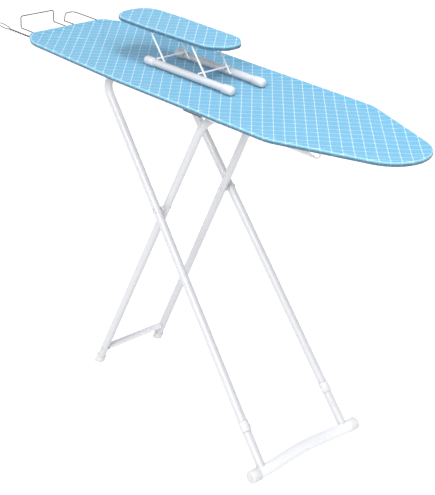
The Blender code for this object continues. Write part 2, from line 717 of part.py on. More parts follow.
def build_outer_legs():
    joint_share = outer_share_at(SOCKET_HEIGHT)
    half_socket = SOCKET_LENGTH / 2
    length = (outer_point(1, FAR) - outer_point(0, FAR)).length
    above = joint_share - (half_socket + GAP) / length
    below = joint_share + (half_socket + GAP) / length
    route = [outer_point(above, NEAR), outer_point(0, NEAR), outer_point(0, FAR),
             outer_point(above, FAR)]
    frame = tube("outer_leg_frame", fillet_path(route, 0.042, 7), OUTER_TUBE_RADIUS, "white_tube",
                 pivot=OUTER_AXIS)
    bar_arch = foot_bar_path()
    for label, side in SIDES:
        direction = (outer_point(1, side) - outer_point(0, side)).normalized()
        start = outer_point(joint_share, side) - direction * half_socket
        profile = [(0, SOCKET_RADIUS - 0.0012), (0.0012, SOCKET_RADIUS),
                   (SOCKET_LENGTH - 0.0012, SOCKET_RADIUS), (SOCKET_LENGTH, SOCKET_RADIUS - 0.0012)]
        add_part("leg_socket_" + label, turned_mesh("socket", start, direction, profile),
                 "white_plastic", OUTER_AXIS)
        stub = tube("foot_stub_" + label, [outer_point(below, side), outer_point(1, side)],
                    OUTER_TUBE_RADIUS, "white_tube", pivot=OUTER_AXIS)
        saddle = curve_mesh(path_curve("saddle", bar_arch, FOOT_BAR_RADIUS + GAP, 4))
        cut(stub, saddle)
        drill_across(frame, outer_point(CROSSING_SHARE, side).y)
    tube("outer_foot_bar", bar_arch, FOOT_BAR_RADIUS, "white_tube", 0.0014, 4, pivot=OUTER_AXIS)
    for label, side in SIDES:
        start = Vector((OUTER_FOOT[0], side * (FOOT_BAR_HALF_LENGTH + GAP), foot_bar_height(1.0)))
        profile = [(0, FOOT_CAP_RADIUS), (FOOT_CAP_LENGTH - 0.004, FOOT_CAP_RADIUS),
                   (FOOT_CAP_LENGTH - 0.001, FOOT_CAP_RADIUS - 0.0015),
                   (FOOT_CAP_LENGTH, FOOT_CAP_RADIUS - 0.0045),
                   (FOOT_CAP_LENGTH - 0.0015, FOOT_CAP_RADIUS - 0.0085)]
        add_part("foot_bar_cap_" + label,
                 turned_mesh("cap", start, (0, side, 0), profile, 28), "white_plastic", OUTER_AXIS)
    stay_share = joint_share + 0.004
    near_end, far_end = outer_point(stay_share, NEAR), outer_point(stay_share, FAR)
    inset = SOCKET_RADIUS + GAP * 2
    near_end.y += inset
    far_end.y -= inset
    bar("stay_wire", [near_end, far_end], STAY_WIRE_RADIUS, "white_tube", 2, pivot=OUTER_AXIS)


def foot_bar_height(share):
    """Height of the foot bar's centre line; share runs from 0 in the middle to 1 at its ends."""
    return FOOT_CAP_RADIUS + FOOT_BAR_ARCH * (1 + math.cos(math.pi * share)) / 2


def foot_bar_path(steps=16):
    path = []
    for step in range(steps + 1):
        share = -1 + 2 * step / steps
        path.append((OUTER_FOOT[0], share * FOOT_BAR_HALF_LENGTH, foot_bar_height(share)))
    return path


# ---------------------------------------------------------------- inner legs and cross pivots


def drill_across(frame, leg_y):
    """Drill a leg for the cross pivot's rivet."""
    reach = OUTER_TUBE_RADIUS + 0.002
    drill(frame, (CROSSING.x, leg_y - reach, CROSSING.y), (CROSSING.x, leg_y + reach, CROSSING.y),
          RIVET_RADIUS + GAP)


def build_inner_legs():
    foot_share = inner_share_at(INNER_FOOT_TOP)
    route = [inner_point(foot_share, NEAR), inner_point(0, NEAR), inner_point(0, FAR),
             inner_point(foot_share, FAR)]
    frame = tube("inner_leg_frame", fillet_path(route, 0.028, 6), INNER_TUBE_RADIUS, "white_tube",
                 pivot=CROSSING_AXIS)
    for label, side in SIDES:
        drill_across(frame, inner_point(INNER_CROSSING_SHARE, side).y)
        build_inner_foot(label, side, foot_share)
    build_cross_tube()


def build_inner_foot(label, side, share):
    """A foot cap along the leg, cut flat at the floor."""
    top = inner_point(share, side)
    direction = (inner_point(1, side) - inner_point(0, side)).normalized()
    work = bmesh.new()
    mesh = turned_mesh("foot", top + direction * GAP, direction, INNER_FOOT_PROFILE, 24)
    work.from_mesh(mesh)
    geometry = list(work.verts) + list(work.edges) + list(work.faces)
    halved = bmesh.ops.bisect_plane(work, geom=geometry, plane_co=(0, 0, 0), plane_no=(0, 0, -1),
                                    clear_outer=True)
    rim = [item for item in halved["geom_cut"] if isinstance(item, bmesh.types.BMEdge)]
    bmesh.ops.holes_fill(work, edges=rim)
    bmesh.ops.recalc_face_normals(work, faces=work.faces)
    work.to_mesh(mesh)
    work.free()
    add_part("inner_foot_cap_" + label, mesh, "white_plastic", CROSSING_AXIS)


def build_cross_tube():
    """The tube between the inner legs' feet, screwed to them from outside."""
    leg = inner_point(inner_share_at(CROSS_TUBE_Z), FAR)
    reach = leg.y - INNER_TUBE_RADIUS - GAP
    tube("inner_cross_tube", [(leg.x, -reach, leg.z), (leg.x, reach, leg.z)], CROSS_TUBE_RADIUS,
         "white_tube", CROSS_TUBE_WALL, pivot=CROSSING_AXIS)
    for label, side in SIDES:
        start = (leg.x, side * (leg.y + INNER_TUBE_RADIUS + GAP), leg.z)
        mesh = turned_mesh("screw", start, (0, side, 0), CROSS_SCREW_PROFILE, 12)
        add_part("cross_tube_screw_" + label, mesh, "white_tube", CROSSING_AXIS)


def build_cross_pivots():
    """A rivet through both legs on each side, with a spacer between them."""
    x, z = CROSSING
    for label, side in SIDES:
        outer_y = outer_point(CROSSING_SHARE, side).y
        inner_y = inner_point(INNER_CROSSING_SHARE, side).y
        inner_face = abs(inner_y) + INNER_TUBE_RADIUS + GAP
        outer_face = abs(outer_y) - OUTER_TUBE_RADIUS - GAP
        ends = (x, side * inner_face, z), (x, side * outer_face, z)
        spacer = add_part("cross_spacer_" + label, cylinder_mesh("spacer", *ends, SPACER_RADIUS),
                          "white_plastic", OUTER_AXIS)
        bore_start, bore_end = (x, side * (inner_face - 0.01), z), (x, side * (outer_face + 0.01), z)
        drill(spacer, bore_start, bore_end, RIVET_RADIUS + GAP)
        head, lip = RIVET_HEAD_RADIUS, RIVET_HEAD_HEIGHT
        start = abs(inner_y) - INNER_TUBE_RADIUS - GAP - lip
        length = abs(outer_y) + OUTER_TUBE_RADIUS + GAP - start
        profile = [(0, head * 0.5), (lip * 0.6, head * 0.9), (lip, head), (lip, RIVET_RADIUS),
                   (length, RIVET_RADIUS), (length, head),
                   (length + lip * 0.4, head * 0.9), (length + lip, head * 0.5)]
        mesh = turned_mesh("rivet", (x, side * start, z), (0, side, 0), profile, 16)
        add_part("cross_rivet_" + label, mesh, "zinc_steel", OUTER_AXIS)


# ---------------------------------------------------------------- sleeve board


def build_sleeve_base():
    """Two rails that lie on the tabletop, tied by two stop wires."""
    for (label, side), rail_y in zip(SIDES, RAIL_Y):
        start = RAIL_X[0] + RAIL_CAP_LENGTH + GAP
        end = RAIL_X[1] - RAIL_CAP_LENGTH - GAP
        rail = tube("sleeve_rail_" + label, [(start, rail_y, RAIL_Z), (end, rail_y, RAIL_Z)],
                    RAIL_RADIUS, "white_tube", RAIL_WALL)
        for foot_x in FRAME_FOOT_X:
            drill(rail, (foot_x, rail_y, RAIL_Z), (foot_x, rail_y - side * 0.02, RAIL_Z),
                  FRAME_WIRE_RADIUS + GAP)
        for end_label, x, direction in (("tail", start - GAP, -1), ("nose", end + GAP, 1)):
            mesh = turned_mesh("cap", (x, rail_y, RAIL_Z), (direction, 0, 0), RAIL_CAP_PROFILE)
            add_part("rail_cap_%s_%s" % (label, end_label), mesh, "white_plastic")
    for label, foot_x in zip(("tail", "nose"), FRAME_FOOT_X):
        wire_z = RAIL_Z + RAIL_RADIUS + FRAME_WIRE_RADIUS + GAP
        along_lean = (wire_z - RAIL_Z) * math.tan(FRAME_LEAN)
        behind = (2 * FRAME_WIRE_RADIUS + GAP) / math.cos(FRAME_LEAN)
        wire_x = foot_x - along_lean - behind
        bar("stop_wire_" + label, [(wire_x, RAIL_Y[0], wire_z), (wire_x, RAIL_Y[1], wire_z)],
            FRAME_WIRE_RADIUS, "white_tube", 2)


def build_sleeve_frames():
    """Two U-shaped wires that carry the sleeve board and fold side by side."""
    for label, foot_x in zip(("tail", "nose"), FRAME_FOOT_X):
        inner = RAIL_RADIUS + FRAME_WIRE_RADIUS + GAP
        near_y, far_y = RAIL_Y[0] + inner, RAIL_Y[1] - inner
        into_rail = RAIL_RADIUS - 0.003
        top_x, top_z = foot_x - FRAME_SHIFT, RAIL_Z + FRAME_RISE
        route = [(foot_x, near_y - into_rail, RAIL_Z), (foot_x, near_y, RAIL_Z),
                 (top_x, near_y, top_z), (top_x, far_y, top_z), (foot_x, far_y, RAIL_Z),
                 (foot_x, far_y + into_rail, RAIL_Z)]
        bar("sleeve_frame_" + label, fillet_path(route, [0, 0.0026, 0.008, 0.008, 0.0026, 0], 4),
            FRAME_WIRE_RADIUS, "white_tube", 2, pivot=(foot_x, 0, RAIL_Z))


def build_sleeve_top():
    skirt_bottom = SLEEVE_TOP - SLEEVE_COVER_DEPTH
    panel_bottom = skirt_bottom + SLEEVE_PANEL_LIFT
    inset = COVER_THICKNESS + GAP
    pivot = (FRAME_FOOT_X[0] - FRAME_SHIFT, 0, RAIL_Z + FRAME_RISE)
    slab("sleeve_panel", sleeve_outline(inset), panel_bottom, SLEEVE_PANEL_THICKNESS, "deck_paint",
         pivot)
    pad_bottom = panel_bottom + SLEEVE_PANEL_THICKNESS + GAP
    slab("sleeve_pad", sleeve_outline(inset), pad_bottom, SLEEVE_PAD_THICKNESS, "felt_pad", pivot)
    lid("sleeve_cover", sleeve_outline(), skirt_bottom, SLEEVE_TOP, COVER_THICKNESS, "blue_cotton",
        pivot)
    flange_z = panel_bottom - GAP - CLIP_THICKNESS / 2
    for label, foot_x in zip(("tail", "nose"), FRAME_FOOT_X):
        build_sleeve_clip("sleeve_clip_" + label, foot_x - FRAME_SHIFT, flange_z, pivot)


def build_sleeve_clip(node, wire_x, flange_z, pivot):
    """A saddle clip that holds the top of one wire frame against the panel."""
    wire_z = RAIL_Z + FRAME_RISE
    inner = FRAME_WIRE_RADIUS + GAP + CLIP_THICKNESS / 2
    start_y = SLEEVE_CENTRE_Y - CLIP_HALF_WIDTH
    path = [(wire_x - CLIP_REACH, start_y, flange_z), (wire_x - inner, start_y, flange_z)]
    steps = 8
    for step in range(steps + 1):
        angle = math.pi * step / steps
        path.append((wire_x - inner * math.cos(angle), start_y, wire_z - inner * math.sin(angle)))
    path += [(wire_x + inner, start_y, flange_z), (wire_x + CLIP_REACH, start_y, flange_z)]
    ribbon(node, path, (0, 2 * CLIP_HALF_WIDTH, 0), CLIP_THICKNESS, "zinc_steel", pivot)


# ---------------------------------------------------------------- assembly


def build():
    build_deck()
    deck_brace("deck_brace_tail", HINGE.x, 0.080, 0.144)
    deck_brace("deck_brace_middle", 0.030, 0.034, 0.148)
    deck_brace("deck_brace_nose", 0.430, 0.034, 0.134)
    build_spine()
    build_hinge_straps()
    build_rack()
    build_lever()
    build_iron_rest()
    build_outer_legs()
    build_inner_legs()
    build_cross_pivots()
    build_sleeve_base()
    build_sleeve_frames()
    build_sleeve_top()


build()
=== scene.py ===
"""Looks for a folding ironing board with a wire iron rest and a loose sleeve board.

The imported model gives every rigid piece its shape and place. This script adds the camera, the light,
the cloth, the pads and the finishes. Metres, +Z up; +X runs from the square tail to the round nose,
and the near side of the board is at -Y.
"""
import json
import math
from collections import namedtuple

import bmesh
import bpy
from mathutils import Matrix, Vector, noise


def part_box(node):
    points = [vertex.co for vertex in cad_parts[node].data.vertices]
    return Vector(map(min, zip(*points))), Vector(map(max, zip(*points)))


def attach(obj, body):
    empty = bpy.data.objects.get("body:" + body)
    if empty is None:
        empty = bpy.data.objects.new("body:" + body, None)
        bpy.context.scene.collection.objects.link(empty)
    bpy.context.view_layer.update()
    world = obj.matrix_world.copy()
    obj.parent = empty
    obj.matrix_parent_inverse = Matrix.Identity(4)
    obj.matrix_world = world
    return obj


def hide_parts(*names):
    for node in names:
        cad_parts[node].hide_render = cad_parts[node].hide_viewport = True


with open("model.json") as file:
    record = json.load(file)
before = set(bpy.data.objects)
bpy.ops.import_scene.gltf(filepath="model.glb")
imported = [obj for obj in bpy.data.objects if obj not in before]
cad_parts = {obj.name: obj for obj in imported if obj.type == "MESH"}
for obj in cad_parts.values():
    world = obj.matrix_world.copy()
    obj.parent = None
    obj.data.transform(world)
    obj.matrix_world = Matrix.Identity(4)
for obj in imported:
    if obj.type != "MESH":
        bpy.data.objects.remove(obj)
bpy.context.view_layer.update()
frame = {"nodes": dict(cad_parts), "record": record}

MM = 0.001

# ---------------------------------------------------------------- camera, light and floor

CAMERA_PLACE = (2.1026, -1.9348, 1.7419)
CAMERA_AZIMUTH = math.radians(46.0867)       # 0 looks along +Y
CAMERA_ELEVATION = math.radians(25.4051)     # above the horizon
CAMERA_ROLL = math.radians(2.2927)
CAMERA_LENS = 95.15                          # on a 36 mm sensor


def make_camera():
    ahead = Vector((-math.sin(CAMERA_AZIMUTH) * math.cos(CAMERA_ELEVATION),
                    math.cos(CAMERA_AZIMUTH) * math.cos(CAMERA_ELEVATION),
                    -math.sin(CAMERA_ELEVATION)))
    level = Vector((math.cos(CAMERA_AZIMUTH), math.sin(CAMERA_AZIMUTH), 0))
    upright = level.cross(ahead)
    right = level * math.cos(CAMERA_ROLL) + upright * math.sin(CAMERA_ROLL)
    up = upright * math.cos(CAMERA_ROLL) - level * math.sin(CAMERA_ROLL)
    data = bpy.data.cameras.new("camera")
    data.lens = CAMERA_LENS
    data.sensor_width = 36.0
    data.clip_end = 100.0
    camera = bpy.data.objects.new("camera", data)
    bpy.context.scene.collection.objects.link(camera)
    turn = Matrix((right, up, -ahead)).transposed().to_4x4()
    camera.matrix_world = Matrix.Translation(CAMERA_PLACE) @ turn
    bpy.context.scene.camera = camera


def sun_light(name, towards, softness, strength, colour):
    data = bpy.data.lights.new(name, "SUN")
    data.angle = math.radians(softness)
    data.energy = strength
    data.color = colour
    light = bpy.data.objects.new(name, data)
    bpy.context.scene.collection.objects.link(light)
    light.matrix_world = Vector(towards).to_track_quat("-Z", "Y").to_matrix().to_4x4()


def area_light(name, place, target, size, power, colour):
    data = bpy.data.lights.new(name, "AREA")
    data.shape = "DISK"
    data.size = size
    data.energy = power
    data.color = colour
    light = bpy.data.objects.new(name, data)
    bpy.context.scene.collection.objects.link(light)
    direction = Vector(target) - Vector(place)
    light.matrix_world = Matrix.Translation(place) @ direction.to_track_quat("-Z", "Y").to_matrix().to_4x4()


KEY_SUN = ((-0.12, -0.06, -1.0), 22.0, 1.65, (1.0, 0.99, 0.98))     # towards, softness, strength, colour
FRONT_SUN = ((-0.45, 0.90, -0.62), 24.0, 2.2, (1.0, 1.0, 1.0))
NOSE_LAMP = ((1.1, -0.3, 2.3), (0.6, 0.0, 0.8), 0.9, 15.0, (1.0, 1.0, 1.0))   # place, target, size, power
ROOM_COLOUR = (0.985, 0.99, 1.0, 1.0)
SHADE_DIRECTION = (0.62, 0.78, 0.0)      # the side of the room with the grey flag
SHADE_SPREAD = (-0.25, 0.75)             # where the walls start and end their change to grey
ROOM_BRIGHT = 0.75
ROOM_SHADE = 0.46
SKIRTING_BRIGHT = 0.97                   # a white band at the horizon, where the floor ends
SKIRTING_TOP = 0.16
SKIRTING_FADE = 0.05
CEILING_SHARE = 0.85                     # how bright the ceiling is beside the walls
CEILING_SPREAD = (0.15, 0.9)
FLOOR_REACH = 30.0


def make_studio():
    """A white room with a grey flag on its far side, an overhead key and a soft fill."""
    world = bpy.data.worlds.new("studio")
    world.use_nodes = True
    tree = world.node_tree

    def add(kind, operation, sources):
        node = tree.nodes.new(kind)
        if operation:
            node.operation = operation
        for socket, source in zip(node.inputs, sources):
            if hasattr(source, "links"):
                tree.links.new(source, socket)
            else:
                socket.default_value = source
        return node

    def smooth_range(source, low, high, start, end):
        node = add("ShaderNodeMapRange", None, (source, low, high, start, end))
        node.interpolation_type = "SMOOTHSTEP"
        return node.outputs["Result"]

    way = tree.nodes.new("ShaderNodeTexCoord").outputs["Generated"]
    lean = add("ShaderNodeVectorMath", "DOT_PRODUCT", (way, SHADE_DIRECTION)).outputs["Value"]
    rise = add("ShaderNodeVectorMath", "DOT_PRODUCT", (way, (0.0, 0.0, 1.0))).outputs["Value"]
    walls = smooth_range(lean, *SHADE_SPREAD, ROOM_BRIGHT, ROOM_SHADE)
    ceiling = smooth_range(rise, *CEILING_SPREAD, 1.0, CEILING_SHARE)
    background = tree.nodes["Background"]
    background.inputs["Color"].default_value = ROOM_COLOUR
    skirting = smooth_range(rise, SKIRTING_TOP - SKIRTING_FADE, SKIRTING_TOP, SKIRTING_BRIGHT, 0.0)
    room = add("ShaderNodeMath", "MULTIPLY", (walls, ceiling)).outputs[0]
    strength = add("ShaderNodeMath", "MAXIMUM", (room, skirting)).outputs[0]
    tree.links.new(strength, background.inputs["Strength"])
    bpy.context.scene.world = world
    sun_light("key", *KEY_SUN)
    sun_light("front_fill", *FRONT_SUN)
    area_light("nose_fill", *NOSE_LAMP)
    bpy.context.scene.view_settings.view_transform = "Standard"


def make_floor():
    mesh = bpy.data.meshes.new("floor")
    reach = FLOOR_REACH
    corners = [(-reach, -reach, 0), (reach, -reach, 0), (reach, reach, 0), (-reach, reach, 0)]
    mesh.from_pydata(corners, [], [(0, 1, 2, 3)])
    floor = bpy.data.objects.new("floor", mesh)
    bpy.context.scene.collection.objects.link(floor)
    mesh.materials.append(floor_finish())


# ---------------------------------------------------------------- shader helpers


STITCH_PITCH = 3.4 * MM
STITCH_WIDTH = 0.6 * MM
STITCH_INSET = 1.1 * MM
STITCH_COLOUR = (0.55, 0.70, 0.82)


class Finish:
    """A Principled material, with short ways to add the nodes that feed it."""

    def __init__(self, name, colour, roughness, metallic=0.0):
        self.material = bpy.data.materials.new(name)
        self.material.use_nodes = True
        self.tree = self.material.node_tree
        self.shader = self.tree.nodes["Principled BSDF"]
        self.set("Base Color", (*colour, 1.0))
        self.set("Roughness", roughness)
        self.set("Metallic", metallic)
        self.place = self.add("ShaderNodeTexCoord").outputs["Object"]

    def set(self, socket, value):
        self.shader.inputs[socket].default_value = value

    def add(self, kind, **settings):
        node = self.tree.nodes.new(kind)
        for name, value in settings.items():
            setattr(node, name, value)
        return node

    def feed(self, socket, value):
        """Give a socket a number, a colour or another node's output."""
        if isinstance(value, bpy.types.NodeSocket):
            self.tree.links.new(value, socket)
        else:
            socket.default_value = value

    def calc(self, operation, *values):
        node = self.add("ShaderNodeMath", operation=operation)
        for socket, value in zip(node.inputs, values):
            self.feed(socket, value)
        return node.outputs[0]

    def ramp(self, value, low, high, to_low=0.0, to_high=1.0):
        """A smooth step from to_low, at low, to to_high, at high."""
        node = self.add("ShaderNodeMapRange", interpolation_type="SMOOTHSTEP")
        for socket, item in zip(node.inputs, (value, low, high, to_low, to_high)):
            self.feed(socket, item)
        return node.outputs[0]

    def noise(self, scale, detail=2.0, place=None, stretch=None):
        node = self.add("ShaderNodeTexNoise")
        vector = place or self.place
        if stretch:
            mapping = self.add("ShaderNodeMapping")
            self.feed(mapping.inputs["Vector"], vector)
            mapping.inputs["Scale"].default_value = stretch
            vector = mapping.outputs["Vector"]
        self.feed(node.inputs["Vector"], vector)
        node.inputs["Scale"].default_value = scale
        node.inputs["Detail"].default_value = detail
        return node.outputs["Fac"]

    def mix(self, share, first, second):
        node = self.add("ShaderNodeMix", data_type="RGBA")
        self.feed(node.inputs[0], share)
        for socket, value in ((node.inputs[6], first), (node.inputs[7], second)):
            self.feed(socket, (*value, 1.0) if isinstance(value, tuple) else value)
        return node.outputs[2]

    def bump(self, height, distance, strength=1.0, after=None):
        node = self.add("ShaderNodeBump")
        node.inputs["Strength"].default_value = strength
        node.inputs["Distance"].default_value = distance
        self.feed(node.inputs["Height"], height)
        if after is not None:
            self.feed(node.inputs["Normal"], after)
        return node.outputs["Normal"]

    def colour(self, value):
        self.feed(self.shader.inputs["Base Color"], value)

    def roughness(self, value):
        self.feed(self.shader.inputs["Roughness"], value)

    def normal(self, value):
        self.feed(self.shader.inputs["Normal"], value)

    def stitches(self, colour):
        """A row of pale stitches; the attribute seam holds (place along the hem, distance below its edge)."""
        seam = self.add("ShaderNodeAttribute", attribute_name="seam").outputs["Vector"]
        split = self.add("ShaderNodeSeparateXYZ")
        self.feed(split.inputs[0], seam)
        across = self.calc("ABSOLUTE", self.calc("SUBTRACT", split.outputs[1], STITCH_INSET))
        row = self.ramp(across, STITCH_WIDTH * 0.35, STITCH_WIDTH * 0.65, 1.0, 0.0)
        wave = self.calc("SINE", self.calc("MULTIPLY", split.outputs[0], 2 * math.pi / STITCH_PITCH))
        thread = self.calc("MULTIPLY", row, self.ramp(wave, -0.5, 0.1, 0.0, 1.0))
        return self.mix(thread, colour, STITCH_COLOUR)


def edge_wear(finish, low=0.52, high=0.60):
    """A mask that is 1 on outward edges."""
    pointiness = finish.add("ShaderNodeNewGeometry").outputs["Pointiness"]
    return finish.ramp(pointiness, low, high)


# ---------------------------------------------------------------- finishes


FLOOR_GLOW = 0.82                # the floor is a lit white table


def floor_finish():
    finish = Finish("floor_paper", (0.28, 0.28, 0.28), 0.9)
    grain = finish.noise(40.0, 4.0)
    finish.colour(finish.mix(grain, (0.275, 0.275, 0.275), (0.285, 0.285, 0.285)))
    finish.set("Emission Color", (1.0, 1.0, 1.0, 1.0))
    finish.set("Emission Strength", FLOOR_GLOW)
    return finish.material


def white_tube_finish(name="white_tube", tone=1.0):
    """White powder coat: slight orange peel and faint grey scuffs."""
    # a tone above 1 makes a paler copy of the coat, as painted light
    finish = Finish(name, (0.52 * tone, 0.52 * tone, 0.545 * tone), 0.3)
    cloud = finish.noise(9.0, 3.0)
    base = finish.mix(cloud, tuple(tone * value for value in (0.495, 0.50, 0.525)),
                      tuple(tone * value for value in (0.53, 0.535, 0.555)))
    scuff = finish.ramp(finish.noise(60.0, 6.0, stretch=(1.0, 1.0, 0.25)), 0.64, 0.74)
    finish.colour(finish.mix(finish.calc("MULTIPLY", scuff, 0.18), base, (0.36, 0.365, 0.385)))
    finish.roughness(finish.ramp(finish.noise(25.0, 4.0), 0.3, 0.7, 0.26, 0.40))
    finish.set("Coat Weight", 0.25)
    finish.set("Coat Roughness", 0.12)
    finish.normal(finish.bump(finish.noise(900.0, 2.0), 0.00006, 0.6))
    return finish.material


def white_plastic_finish():
    """Moulded plastic with a fine spark-eroded grain."""
    finish = Finish("white_plastic", (0.54, 0.54, 0.55), 0.45)
    cloud = finish.noise(30.0, 3.0)
    base = finish.mix(cloud, (0.52, 0.52, 0.53), (0.56, 0.56, 0.57))
    finish.colour(finish.mix(finish.calc("MULTIPLY", edge_wear(finish), 0.35), base, (0.62, 0.62, 0.63)))
    finish.roughness(finish.ramp(finish.noise(80.0, 4.0), 0.3, 0.7, 0.42, 0.56))
    finish.normal(finish.bump(finish.noise(2200.0, 2.0), 0.00008, 0.7))
    return finish.material


def rest_steel_finish():
    """Drawn steel wire: fine lengthways drawing marks over a dark bright metal."""
    finish = Finish("rest_steel", (0.15, 0.14, 0.13), 0.3, 1.0)
    marks = finish.noise(500.0, 3.0, stretch=(0.04, 1.0, 1.0))
    finish.colour(finish.mix(marks, (0.10, 0.090, 0.078), (0.20, 0.185, 0.165)))
    finish.roughness(finish.ramp(marks, 0.3, 0.7, 0.24, 0.42))
    finish.normal(finish.bump(marks, 0.00004, 0.5))
    return finish.material


def zinc_finish():
    """Zinc plate: soft spangles, fine scratches and brighter rubbed edges."""
    finish = Finish("zinc_steel", (0.62, 0.63, 0.65), 0.38, 1.0)
    spangle = finish.add("ShaderNodeTexVoronoi")
    finish.feed(spangle.inputs["Vector"], finish.place)
    spangle.inputs["Scale"].default_value = 260.0
    flecks = finish.calc("MULTIPLY", spangle.outputs["Color"], 1.0)
    base = finish.mix(flecks, (0.52, 0.53, 0.56), (0.68, 0.69, 0.70))
    finish.colour(finish.mix(edge_wear(finish), base, (0.80, 0.80, 0.80)))
    scratches = finish.noise(400.0, 5.0, stretch=(0.08, 1.0, 1.0))
    finish.roughness(finish.ramp(scratches, 0.35, 0.7, 0.30, 0.52))
    finish.normal(finish.bump(scratches, 0.00004, 0.6))
    return finish.material


def deck_paint_finish():
    """Satin paint with a light orange peel, thin on the edges."""
    finish = Finish("deck_paint", (0.80, 0.80, 0.82), 0.42)
    base = finish.mix(finish.noise(14.0, 3.0), (0.74, 0.745, 0.76), (0.80, 0.80, 0.81))
    finish.colour(finish.mix(finish.calc("MULTIPLY", edge_wear(finish), 0.5), base, (0.62, 0.62, 0.63)))
    finish.roughness(finish.ramp(finish.noise(40.0, 4.0), 0.3, 0.7, 0.36, 0.5))
    finish.normal(finish.bump(finish.noise(700.0, 2.0), 0.00007, 0.7))
    return finish.material


def dark_plastic_finish():
    finish = Finish("dark_plastic", (0.16, 0.16, 0.18), 0.5)
    finish.colour(finish.mix(finish.noise(50.0, 4.0), (0.045, 0.045, 0.055), (0.075, 0.075, 0.085)))
    finish.roughness(finish.ramp(finish.noise(120.0, 4.0), 0.3, 0.7, 0.42, 0.6))
    finish.normal(finish.bump(finish.noise(2500.0, 2.0), 0.00008, 0.8))
    return finish.material


LATTICE_LINE = 1.9 * MM          # width of a printed line
LATTICE_DOT = 3.6 * MM           # diameter of the dot where two lines cross
LATTICE_DASHES = 7               # dashes between two crossings
THREAD_PITCH = 0.55 * MM
COTTON_BLUES = ((0.066, 0.282, 0.452), (0.086, 0.318, 0.492))
SLUB_BLUE = (0.14, 0.375, 0.54)
WEAVE_BLUE = (0.038, 0.215, 0.375)
PRINT_WHITE = (0.62, 0.70, 0.76)
SHOULDER_HIGHLIGHT_BLUE = (0.36, 0.66, 0.86)
# painted shade: the hem casing is mixed towards this dark blue, standing in for the shade under the rim
CASING_PAINTED_SHADE_BLUE = (0.02, 0.06, 0.10)
SHOULDER_HIGHLIGHT_SHARE = 0.45               # how strongly a painted highlight lightens the cloth where it turns over the rim
LATTICE = {                      # turn from the board's length, pitch and start of both families
    "board": ((math.radians(45.4), 22.55 * MM, 7.37 * MM), (math.radians(-45.2), 23.45 * MM, 11.0 * MM)),
    "sleeve": ((math.radians(43.5), 23.2 * MM, 4.2 * MM), (math.radians(-46.5), 23.6 * MM, 4.54 * MM)),
}


def cotton_finish(name, lattice, shade=1.0):
    """Sky-blue cotton, printed with a white lattice at 45 degrees, and a plain weave.

    The attribute flat holds each point's place on the cloth before it was fitted, so the lattice
    and the threads run on over the edges."""
    finish = Finish(name, (0.22, 0.56, 0.80), 0.8)
    flat = finish.add("ShaderNodeAttribute", attribute_name="flat").outputs["Vector"]
    split = finish.add("ShaderNodeSeparateXYZ")
    finish.feed(split.inputs[0], flat)
    x, y = split.outputs[0], split.outputs[1]
    away, along = [], []
    for turn, pitch, start in lattice:
        sideways = finish.calc("MULTIPLY_ADD", y, math.sin(turn) / pitch, 0.5 + start / pitch)
        turns = finish.calc("MULTIPLY_ADD", x, math.cos(turn) / pitch, sideways)
        saw = finish.calc("SUBTRACT", finish.calc("FRACT", turns), 0.5)
        along.append(turns)
        away.append(finish.calc("MULTIPLY", finish.calc("ABSOLUTE", saw), pitch))
    lines = []
    for side in (0, 1):
        line = finish.ramp(away[side], 0.0, LATTICE_LINE * 0.75, 0.72, 0.0)
        dash = finish.calc("SINE", finish.calc("MULTIPLY", along[1 - side], 2 * math.pi * LATTICE_DASHES))
        lines.append(finish.calc("MULTIPLY", line, finish.ramp(dash, -1.0, 0.4, 0.5, 1.0)))
    reach = finish.calc("SQRT", finish.calc("ADD", finish.calc("MULTIPLY", away[0], away[0]),
                                            finish.calc("MULTIPLY", away[1], away[1])))
    dot = finish.ramp(reach, LATTICE_DOT * 0.25, LATTICE_DOT * 0.6, 1.0, 0.0)
    printed = finish.calc("MAXIMUM", finish.calc("MAXIMUM", *lines), dot)
    threads = []
    for value in (x, y):
        threads.append(finish.calc("SINE", finish.calc("MULTIPLY", value, 2 * math.pi / THREAD_PITCH)))
    weave = finish.calc("MULTIPLY", threads[0], threads[1])
    slub = finish.noise(300.0, 3.0, flat, (0.06, 1.0, 1.0))
    fade = finish.noise(7.0, 3.0, flat)
    blue = finish.mix(fade, *COTTON_BLUES)
    blue = finish.mix(finish.ramp(slub, 0.35, 0.75, 0.0, 0.35), blue, SLUB_BLUE)
    blue = finish.mix(finish.ramp(weave, -1.0, 1.0, 0.0, 0.14), blue, WEAVE_BLUE)
    colour = finish.mix(printed, blue, PRINT_WHITE)
    # painted highlight: where the normal leans between upright and sideways, on the rim's shoulder, the cloth
    # is mixed towards a paler blue
    facing = finish.add("ShaderNodeSeparateXYZ")
    finish.feed(facing.inputs[0], finish.add("ShaderNodeNewGeometry").outputs["Normal"])
    shoulder_highlight = finish.calc("MULTIPLY", finish.ramp(facing.outputs[2], 0.93, 0.80, 0.0, 1.0),
                         finish.ramp(facing.outputs[2], 0.25, 0.60, 0.0, SHOULDER_HIGHLIGHT_SHARE))
    colour = finish.mix(shoulder_highlight, colour, SHOULDER_HIGHLIGHT_BLUE)
    # painted shade: the casing's copy of the cloth is darkened towards the casing blue
    if shade < 1.0:
        colour = finish.mix(1.0 - shade, colour, CASING_PAINTED_SHADE_BLUE)
        colour = finish.stitches(colour)
    finish.colour(colour)
    finish.roughness(finish.ramp(printed, 0.0, 1.0, 0.78, 0.55))
    finish.set("Sheen Weight", 0.22)
    finish.set("Sheen Roughness", 0.4)
    threads_bump = finish.bump(weave, 0.00012, 0.6)
    finish.normal(finish.bump(printed, 0.00012, 0.5, after=threads_bump))
    return finish.material


def felt_finish():
    """Cream needle felt: matted fibres and small pills."""
    finish = Finish("felt_pad", (0.86, 0.85, 0.80), 0.95)
    fibres = finish.noise(900.0, 6.0, stretch=(1.0, 0.3, 1.0))
    finish.colour(finish.mix(fibres, (0.66, 0.64, 0.58), (0.86, 0.85, 0.80)))
    finish.set("Sheen Weight", 0.4)
    finish.normal(finish.bump(fibres, 0.0006, 0.8))
    return finish.material


